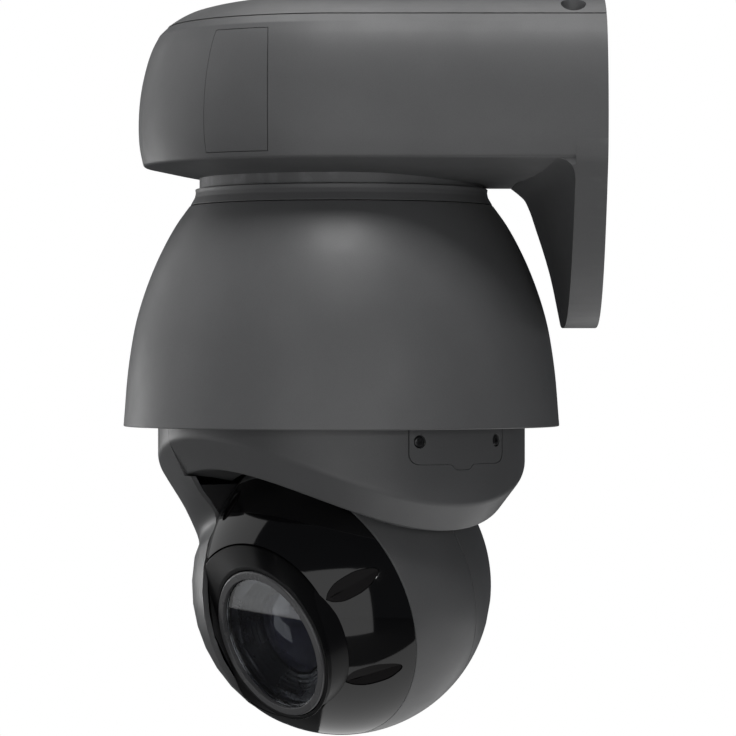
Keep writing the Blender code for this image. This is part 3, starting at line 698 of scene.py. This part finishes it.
def makeShield():
    outer = blendCurve([(r, z, 0) for r, z in shield['outer']], 6)
    inner = blendCurve([(r, z, 0) for r, z in shield['inner']], 6)
    edge = shield['edge']
    ring = [(shield['hole'], shield['top'], 0)] + outer + inner + [(shield['hole'], shield['under'], 0)]
    widths = [0, edge] + [0] * (len(outer) - 2) + [edge * 1.4, edge] + [0] * (len(inner) - 1) + [0]
    return moved(turned('sunShield', easeCorners(ring, widths, True), None, True), panPlace)


present(makeShield(), finishes['shieldPaint'], ['sun_shield'], 'base')
print('shield ready')


# ---- turning yoke with its saddle-shaped lower edge ----

yoke = {
    'radius': 89.25, 'top': -100.3, 'rim': 78.9, 'wall': 4.0, 'pocket': 74.3, 'dome': 2.5,
    'shoulder': (-148.6, 15.9), 'lower': (-162.6, 14.2), 'shoulderEase': 1.8, 'rimEase': 1.1,
    'forkCutY': -26.2, 'forkCutZ': -112,
}
door = {
    'outline': [(-29.5, 26), (29.5, 26), (29.5, -4), (28.2, -7), (25.2, -8.3), (6.5, -8.3),
                (4.6, -11), (-4.6, -11), (-6.5, -8.3), (-25.2, -8.3), (-28.2, -7), (-29.5, -4)],
    'z': -137.0, 'scale': 0.978, 'thick': 2.2, 'bevel': 0.4, 'screwAt': (74.5, 105.5), 'screwZ': -134.4,
}


def shoulderAt(angle, drop=0.0):
    return yoke['shoulder'][0] + yoke['shoulder'][1] * math.cos(2 * angle) - drop


def lowerAt(angle, lift=0.0):
    return yoke['lower'][0] + yoke['lower'][1] * math.cos(2 * angle) + lift


def ballArc(radius, height, count=14, pole=88.0):
    # (radius, height) points from a height on the ball up or down to near its pole
    first = math.asin((height - ballZ) / radius)
    last = math.radians(pole)
    return [(radius * math.cos(first + (last - first) * k / count),
             ballZ + radius * math.sin(first + (last - first) * k / count), 0)
            for k in range(count + 1)]


def yokeSection(angle):
    low, high = lowerAt(angle), shoulderAt(angle)
    pocket = ballArc(yoke['pocket'], low)[::-1]
    dome = ballArc(yoke['pocket'] + yoke['dome'], low + 4)
    radius, wall = yoke['radius'], yoke['wall']
    middle = [(yoke['rim'], low, 0), (radius, high, 0), (radius, yoke['top'], 0),
              (radius - wall, yoke['top'], 0), (radius - wall, high + 1, 0),
              (yoke['rim'] + 0.5, low + 4, 0)]
    points = pocket + middle + dome
    widths = [0] * len(points)
    first = len(pocket)
    widths[first - 1], widths[first], widths[first + 1] = 0.5, yoke['rimEase'], yoke['shoulderEase']
    widths[first + 2] = 0.5
    return easeCorners(points, widths)


def ringRows(section, steps):
    # sections at every angle, handed back as rows that each run right round
    cuts = []
    for k in range(steps):
        angle = math.tau * k / steps
        cuts.append([(p[0] * math.cos(angle), p[0] * math.sin(angle), p[1]) for p in section(angle)])
    return [list(row) for row in zip(*cuts)]


doorFace = Matrix.Translation((0, 0, door['z'] * mm)) @ alongY


def doorSlab(name, scale):
    rounded = easeCorners([(x * scale, -y * scale, 0) for x, y in door['outline']],
                          [0, 0, 1, 2, 2, 2, 2, 2, 2, 2, 2, 1], True)
    return moved(slab(name, [(p[0], p[1]) for p in rounded], 60, 110), doorFace)


def pointOut(angleDeg, radius, height):
    # a place on the yoke's wall with the Z axis pointing straight out of it
    turn = Matrix.Rotation(math.radians(angleDeg), 4, 'Z')
    return turn @ Matrix.Translation((radius * mm, 0, height * mm)) @ alongX


def makeYoke():
    item = skinned('yokeShell', ringRows(yokeSection, fine))
    carve(item, block('forkSide', (-120, -120, -230), (120, yoke['forkCutY'], yoke['forkCutZ'])))
    pocket = doorSlab('doorPocket', 1.0)
    carve(pocket, barrel('pocketCore', yoke['radius'] - 2.5, -180, -90, fine))
    carve(item, pocket, block('socketWindow', (-17, 60, -141), (17, 110, -116)))
    for angle in door['screwAt']:
        hole = barrel('screwHole', 1.8, -8, 4, 24)
        carve(item, moved(hole, pointOut(angle, yoke['radius'] - 1.6, door['screwZ'])))
    return moved(item, panFrame)


present(makeYoke(), finishes['yokePaint'], ['yoke_body'], 'yoke', angle=28)


def makeDoor():
    item = barrel('cardDoor', yoke['radius'], -180, -90, fine)
    carve(item, doorSlab('doorKeep', door['scale']), how='INTERSECT')
    carve(item, barrel('doorBack', yoke['radius'] - door['thick'], -190, -80, fine))
    for angle in door['screwAt']:
        spot = pointOut(angle, yoke['radius'] - 1.6, door['screwZ'])
        carve(item, moved(barrel('seat', 3.1, 0, 6, 32), spot), moved(barrel('hole', 1.8, -8, 4, 24), spot))
    return soften(moved(item, panFrame), door['bevel'])


present(makeDoor(), finishes['yokePaint'], ['card_door'], 'yoke')
# the door screws take the near-black colour, partly painted shade of their recesses
for angle, node in zip(door['screwAt'], ('door_screw_left', 'door_screw_right')):
    item = makeScrew('doorScrew' + node[11:].title(), 2.8, 1.2, 1.5, 5, 1.2, 0.8)
    moved(item, panFrame @ pointOut(angle, yoke['radius'] - 1.4, door['screwZ']))
    present(item, finishes['darkScrewAndRecessShade'], [node], 'yoke')

fork = {'waist': 75.0, 'waistDrop': 24.0, 'ballDrop': 37.0, 'top': -112.3, 'wall': 3.0, 'ease': 2.2,
        'faceY': -20.0, 'upperY': -26.5, 'upperZ': -152.0}


def forkSection(inset, top):
    def section(angle):
        high = shoulderAt(angle)
        lower = shoulderAt(angle, fork['waistDrop'])
        radius = ballRadius - inset
        below = ballArc(radius, shoulderAt(angle, fork['ballDrop']), 12, -88.0)
        edge = yoke['radius'] - inset
        bend = easeCorners([(edge, top, 0), (edge, high, 0), (fork['waist'] - inset, lower, 0)],
                           [0, fork['ease'], 0])
        waist = blendCurve([bend[-2], bend[-1], below[0], below[1]], 5)
        return bend[:-2] + waist + below[2:]
    return section


def makeFork():
    item = skinned('forkArm', ringRows(forkSection(0, fork['top']), fine))
    carve(item, skinned('forkHollow', ringRows(forkSection(fork['wall'], fork['top'] - 3), 64)))
    carve(item, block('faceCut', (-120, fork['faceY'], -300), (120, 120, -80)),
          block('upperCut', (-120, fork['upperY'], fork['upperZ']), (120, 120, -80)))
    return soften(moved(item, panFrame), 0.5, 60)


present(makeFork(), finishes['yokePaint'], ['fork_arm'], 'yoke', angle=28)
print('yoke ready')


# ---- tilting head ----

head = {'shell': 2.5, 'edge': 0.35, 'front': (57.4, 27.8, 54.2), 'middle': (27.5, -13.6),
        'rear': (-13.9, -72.79), 'plugAim': (-0.62, 0.665, -0.415)}
leaf = {
    'shape': [(0, 0), (0.15, 0.62), (0.36, 0.96), (0.64, 1), (0.87, 0.66), (1, 0.15), (1, -0.15),
              (0.87, -0.66), (0.64, -1), (0.36, -0.96), (0.15, -0.62)],
    # each runs from one radius and angle about the cap axis to another, with a half width
    'windows': [((56, 110), (64, 102.5), 3.0), ((46, 19.5), (64, 19.5), 5.2),
                ((47.5, -34.5), (64, -25), 5.0), ((56, -110), (64, -102.5), 3.0)],
    'sunk': 0.5, 'groove': 0.6, 'lead': 0.12,
}


def shellArc(radius, high, low, count):
    first, last = math.acos(high / radius), math.acos(low / radius)
    return [(radius * math.sin(first + (last - first) * k / count),
             radius * math.cos(first + (last - first) * k / count), 0) for k in range(count + 1)]


def flatCutter():
    return moved(block('flatCut', (-90, -90, -90), (90, headFlat, 90)), headFrame)


def makeShell(name, high, low, innerHigh=None):
    outer = shellArc(ballRadius, high, low, 28)
    inner = shellArc(ballRadius - head['shell'], innerHigh or high, low, 20)[::-1]
    edge = head['edge']
    widths = ([edge] + [0] * (len(outer) - 2) + [edge]) + [0] * len(inner)
    item = turned(name, easeCorners(outer + inner, widths, True), None, True)
    moved(item, capFrame @ alongX)
    return carve(item, flatCutter())


def leafLine(window, long=1.0, wide=1.0):
    start, end, half = window
    first, last = [Vector((r * math.cos(math.radians(a)), r * math.sin(math.radians(a)), 0))
                   for r, a in (start, end)]
    along, middle = last - first, (first + last) / 2
    across = Vector((-along.y, along.x, 0)).normalized() * half * wide
    loop = [(t, w, 0) for t, w in leaf['shape']]
    smooth = blendCurve(loop + loop[:1], 4, (0,))[:-1]
    return [middle + along * (p.x - 0.5) * long + across * p.y for p in smooth]


capPlane = capFrame @ Matrix(((0, 0, 1), (1, 0, 0), (0, 1, 0))).to_4x4()


def leafBoat(name, window, rings):
    # a leaf whose rings sit on spheres about the ball's centre: (sphere radius, length, width)
    rows = []
    for radius, long, wide in rings:
        flat = leafLine(window, long, wide)
        rows.append([Vector((p.x, p.y, math.sqrt(ballRadius ** 2 - p.x ** 2 - p.y ** 2))).normalized() * radius
                     for p in flat])
    return moved(skinned(name, rows), capPlane)


def makeFace():
    item = makeShell('frontFace', *head['front'])
    for window in leaf['windows']:
        carve(item, leafBoat('leafCut', window, [(76, 1.04, 1.15), (ballRadius - leaf['lead'], 1.0, 1.01),
                                                 (66, 1.0, 1.0)]))
    return item


present(makeFace(), finishes['blackFace'], ['front_cover'], 'head')
for number, window in enumerate(leaf['windows'], 1):
    top = ballRadius - leaf['sunk']
    pane = leafBoat('irPane%d' % number, window, [(70.3, 0.985, 0.97), (top, 0.985, 0.97)])
    carve(pane, leafBoat('groove', window, [(76, 0.84, 0.2), (top, 0.84, 0.1), (top - leaf['groove'], 0.8, 0.02)]))
    present(pane, finishes['irPane'], ['ir_window_%d' % number], 'head', angle=20)

present(makeShell('middleBand', *head['middle']), finishes['headPaint'], ['middle_shell'], 'head')


def makeRear():
    outer = shellArc(ballRadius, head['rear'][0], head['rear'][1], 40)
    inner = shellArc(ballRadius - head['shell'], head['rear'][0], -ballRadius + head['shell'], 28)
    line = inner[::-1] + outer
    widths = [0] * len(line)
    widths[len(inner)] = head['edge']
    item = turned('rearCap', easeCorners(line, widths))
    moved(item, capFrame @ alongX)
    carve(item, flatCutter())
    return carve(item, moved(barrel('plugHole', 5.2, 60, 90, 48), plugPlace))


plugPlace = headFrame @ Vector(head['plugAim']).to_track_quat('Z', 'Y').to_matrix().to_4x4()
present(makeRear(), finishes['headPaint'], ['rear_shell'], 'head')
plug = turned('ventPlug', easeCorners([(0, 71.0, 0), (2.6, 71.0, 0), (3.0, 71.6, 0), (4.9, 71.6, 0),
                                       (4.9, 66.5, 0), (0, 66.5, 0)], [0, 0.2, 0.2, 0.5, 0.2, 0]), 48)
present(moved(plug, plugPlace), finishes['blackMoulding'], ['vent_plug'], 'head')

sidePlate = {'radius': 70.38, 'face': -18.6, 'thick': 2.3, 'frontCut': 46, 'half': 37.6}


def makeSidePlate():
    face, thick, radius = sidePlate['face'], sidePlate['thick'], sidePlate['radius']
    profile = [(6.3, face, 0), (20, face, 0), (21, face + 0.5, 0), (62, face + 0.5, 0), (63, face, 0),
               (radius, face, 0), (radius, face + thick, 0), (6.3, face + thick, 0)]
    item = turned('sidePlate', easeCorners(profile, [0.2, 0.3, 0.3, 0.3, 0.3, 0.5, 0.2, 0.2], True), None, True)
    moved(item, headFrame @ alongY)
    cut = block('frontCut', (sidePlate['frontCut'], -40, -sidePlate['half']), (90, 0, sidePlate['half']))
    return carve(item, moved(cut, headFrame))


present(makeSidePlate(), finishes['blackMoulding'], ['side_plate'], 'head')
print('shells ready')


# ---- lens group ----

collar = {'bore': 37.2, 'rim': 39.2, 'frontX': 63.2, 'flange': 44.2, 'flangeX': 57.6, 'skirt': 43.6,
          'backX': 48.0, 'ease': (0.3, 0.4, 0.5, 0.7, 0.3), 'flatY': -18.6}
toHead = headFrame.inverted()


def collarSection(angle):
    def onLens(radius, depth):
        return Vector((depth, radius * math.cos(angle) + 18.5, radius * math.sin(angle) - 3.0))

    def onCap(radius, depth):
        lean = Matrix.Rotation(math.radians(8.4), 3, 'Z')
        return lean @ Vector((depth, radius * math.cos(angle), radius * math.sin(angle)))

    points = [onLens(collar['bore'], collar['backX']), onLens(collar['bore'], collar['frontX']),
              onLens(collar['rim'], collar['frontX']), onCap(collar['flange'], collar['flangeX']),
              onCap(collar['skirt'], collar['backX'])]
    return easeCorners(points, collar['ease'], True)


def makeCollar():
    cuts = [collarSection(math.tau * k / fine) for k in range(fine)]
    item = skinned('lensCollar', [list(row) for row in zip(*cuts)], True)
    carve(item, block('flatCut', (-90, -90, -90), (90, collar['flatY'], 90)))
    return moved(item, headFrame)


present(makeCollar(), finishes['collarBlack'], ['lens_collar'], 'head')

lens = {
    'ring': [(33, 64.3), (36.2, 64.3), (36.8, 63.7), (36.8, 59), (33, 59)], 'ringEdge': 0.25,
    'glass': (32.7, 60, 62.4),
    'steps': [(33, 57.2), (31.4, 57.2), (30.6, 55.8), (29.0, 55.6), (28.5, 53.9), (27.2, 53.8),
              (26.7, 52.3), (25.4, 52.2), (24.9, 50.9), (23.6, 50.8), (23.1, 49.6), (21.4, 49.5),
              (20.9, 47)],
    'tail': [(18, 40), (18, 28), (24, 28), (24, 40), (33, 46)],
    'front': [(0, 54.5), (8, 53.8), (15, 51.6), (20.2, 49), (20.2, 47.5), (0, 47.5)],
    'baffleSides': 8, 'baffle': 29.6,
}
lensRing = easedTurn('lensRing', lens['ring'], lens['ringEdge'])
present(moved(lensRing, lensFrame), finishes['ringGrey'], ['lens_ring'], 'head')
window = turned('frontWindow', easeCorners([(0, 62.4, 0), (31.9, 62.4, 0), (32.7, 62.4, 0), (32.7, 60, 0),
                                            (31.9, 60, 0), (0, 60, 0)], [0, 0, 0.3, 0.3, 0, 0]), 96)
present(moved(window, lensFrame), finishes['frontGlass'], ['window_glass'], 'head', even=False)


def makeBarrel():
    item = easedTurn('lensBarrel', lens['steps'] + lens['tail'], 0.12)
    hood = barrel('hood', 32.9, 56.6, 57.6, 96)
    carve(hood, moved(barrel('hoodHole', lens['baffle'], 50, 60, lens['baffleSides']),
                      Matrix.Rotation(math.radians(10), 4, 'Z')))
    carve(item, hood, how='UNION')
    return moved(item, lensFrame)


present(makeBarrel(), finishes['barrelBlack'], ['lens_barrel'], 'head')
frontLens = turned('frontLens', blendCurve([(r, z, 0) for r, z in lens['front'][:4]], 6)
                   + [(r, z, 0) for r, z in lens['front'][4:]], 96)
present(moved(frontLens, lensFrame), finishes['lensGlass'], ['front_lens'], 'head', even=False)
print('lens ready')


# ---- what stays as the frame has it, in its own finish ----

keptFinishes = {
    'network_board': 'boardGreen', 'network_jack': 'bearingSteel', 'upper_housing': 'blackMoulding',
    'main_board': 'boardGreen', 'pan_ring_gear': 'gearNylon', 'pan_bearing': 'bearingSteel',
    'slip_ring_stator': 'blackMoulding', 'turntable_plate': 'plateSteel', 'pan_motor': 'blackMoulding',
    'slip_ring_rotor': 'blackMoulding', 'drive_board': 'boardGreen', 'card_socket': 'bearingSteel',
    'fork_cover': 'blackMoulding', 'tilt_bearing': 'bearingSteel', 'tilt_motor': 'blackMoulding',
    'tilt_shaft': 'bearingSteel', 'tilt_gear': 'gearNylon', 'lens_housing': 'barrelBlack',
    'sensor_board': 'boardGreen', 'image_sensor': 'sensorBlack', 'ir_board': 'boardGreen',
    'pan_pinion': 'gearNylon', 'tilt_pinion': 'gearNylon', 'zoom_group': 'brassCell',
    'focus_group': 'brassCell', 'night_filter': 'filterGlass', 'reset_button': 'buttonWhite',
}
for name, look in keptFinishes.items():
    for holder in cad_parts[name].material_slots:
        holder.link = 'OBJECT'
        holder.material = finishes[look]
print('kept nodes painted')


# ---- floor, light and camera ----

studio = {
    'floorZ': -1.2, 'floorRadius': 2.6, 'floorTone': 0.14, 'floorGlow': 0.95,
    'lights': {
        # name: (place, aimed at, width, height, watts, roll in degrees)
        'frontSoft': ((1.53, -0.25, -0.53), (0.07, -0.12, -0.22), 1.6, 1.6, 8, 0),
        'keyHigh': ((0.9, -0.1, 1.7), (0, -0.12, -0.05), 0.9, 0.9, 20, 0),
        'sparkLamp': ((1.9, 0.8, 0.17), (0, -0.12, -0.2), 0.07, 0.07, 1.5, 0),
        'leftWall': ((-0.95, -1.5, 0.3), (-0.95, 0, 0.3), 2.5, 1.4, 9, 0),
        'lensCard': ((-0.2935, -1.45, -0.725), (-0.2935, 0, -0.725), 0.7, 0.5, 0.85, -40.3),
        'leftBack': ((-1.0, -1.35, -0.3), (0, -0.12, -0.12), 0.3, 0.5, 2.5, 0),
        'topPanel': ((-0.3, -0.3, 1.5), (0, -0.12, 0), 1.0, 1.0, 8, 0),
        'underPanel': ((-0.355, 0.42, -0.58), (-0.355, 0.42, 1), 1.2, 1.2, 3.6, 0),
    },
    'camera': (1.729, -0.1106, -0.095), 'aim': (0, -0.1106, -0.1004), 'view': 11.84,
}
deselect()
bpy.ops.mesh.primitive_cylinder_add(vertices=96, radius=studio['floorRadius'], depth=0.02,
                                    location=(0, 0, studio['floorZ'] - 0.01))
floor = settle('studioFloor')
floorLook = bpy.data.materials.new('floorPale')
floorLook.use_nodes = True
floorShader = next(n for n in floorLook.node_tree.nodes if n.type == 'BSDF_PRINCIPLED')
floorShader.inputs['Base Color'].default_value = (studio['floorTone'],) * 3 + (1,)
floorShader.inputs['Roughness'].default_value = 0.9
floorShader.inputs['Emission Color'].default_value = (studio['floorGlow'],) * 3 + (1,)
floorRay = floorLook.node_tree.nodes.new('ShaderNodeLightPath')
floorLook.node_tree.links.new(floorRay.outputs['Is Camera Ray'], floorShader.inputs['Emission Strength'])
floor.data.materials.append(floorLook)

for name, (spot, aim, width, high, watts, roll) in studio['lights'].items():
    lamp = bpy.data.lights.new(name, 'AREA')
    lamp.shape, lamp.size, lamp.size_y, lamp.energy = 'RECTANGLE', width, high, watts
    lampItem = bpy.data.objects.new(name, lamp)
    bpy.context.scene.collection.objects.link(lampItem)
    lampItem.location = spot
    facing = (Vector(aim) - Vector(spot)).to_track_quat('-Z', 'Z').to_matrix()
    lampItem.rotation_euler = (facing @ Matrix.Rotation(math.radians(roll), 3, 'Z')).to_euler()
    lampItem.visible_camera = False

world = bpy.data.worlds.new('studioAir')
bpy.context.scene.world = world
world.use_nodes = True
air = world.node_tree
backing = next(n for n in air.nodes if n.type == 'BACKGROUND')
seen = air.nodes.new('ShaderNodeBackground')
seen.inputs['Color'].default_value = (1, 1, 1, 1)
seen.inputs['Strength'].default_value = 1.0
backing.inputs['Color'].default_value = (0.9, 0.93, 1, 1)
backing.inputs['Strength'].default_value = 0.06
ray = air.nodes.new('ShaderNodeLightPath')
blend = air.nodes.new('ShaderNodeMixShader')
air.links.new(ray.outputs['Is Camera Ray'], blend.inputs[0])
air.links.new(backing.outputs[0], blend.inputs[1])
air.links.new(seen.outputs[0], blend.inputs[2])
air.links.new(blend.outputs[0], next(n for n in air.nodes if n.type == 'OUTPUT_WORLD').inputs[0])

lensData = bpy.data.cameras.new('viewCamera')
lensData.angle = math.radians(studio['view'])
lensData.clip_start = 0.05
viewCamera = bpy.data.objects.new('viewCamera', lensData)
bpy.context.scene.collection.objects.link(viewCamera)
viewCamera.location = studio['camera']
viewCamera.rotation_euler = (Vector(studio['aim']) - Vector(studio['camera'])).to_track_quat('-Z', 'Y').to_euler()
bpy.context.scene.camera = viewCamera
bpy.context.scene.view_settings.view_transform = 'Standard'
print('studio ready')
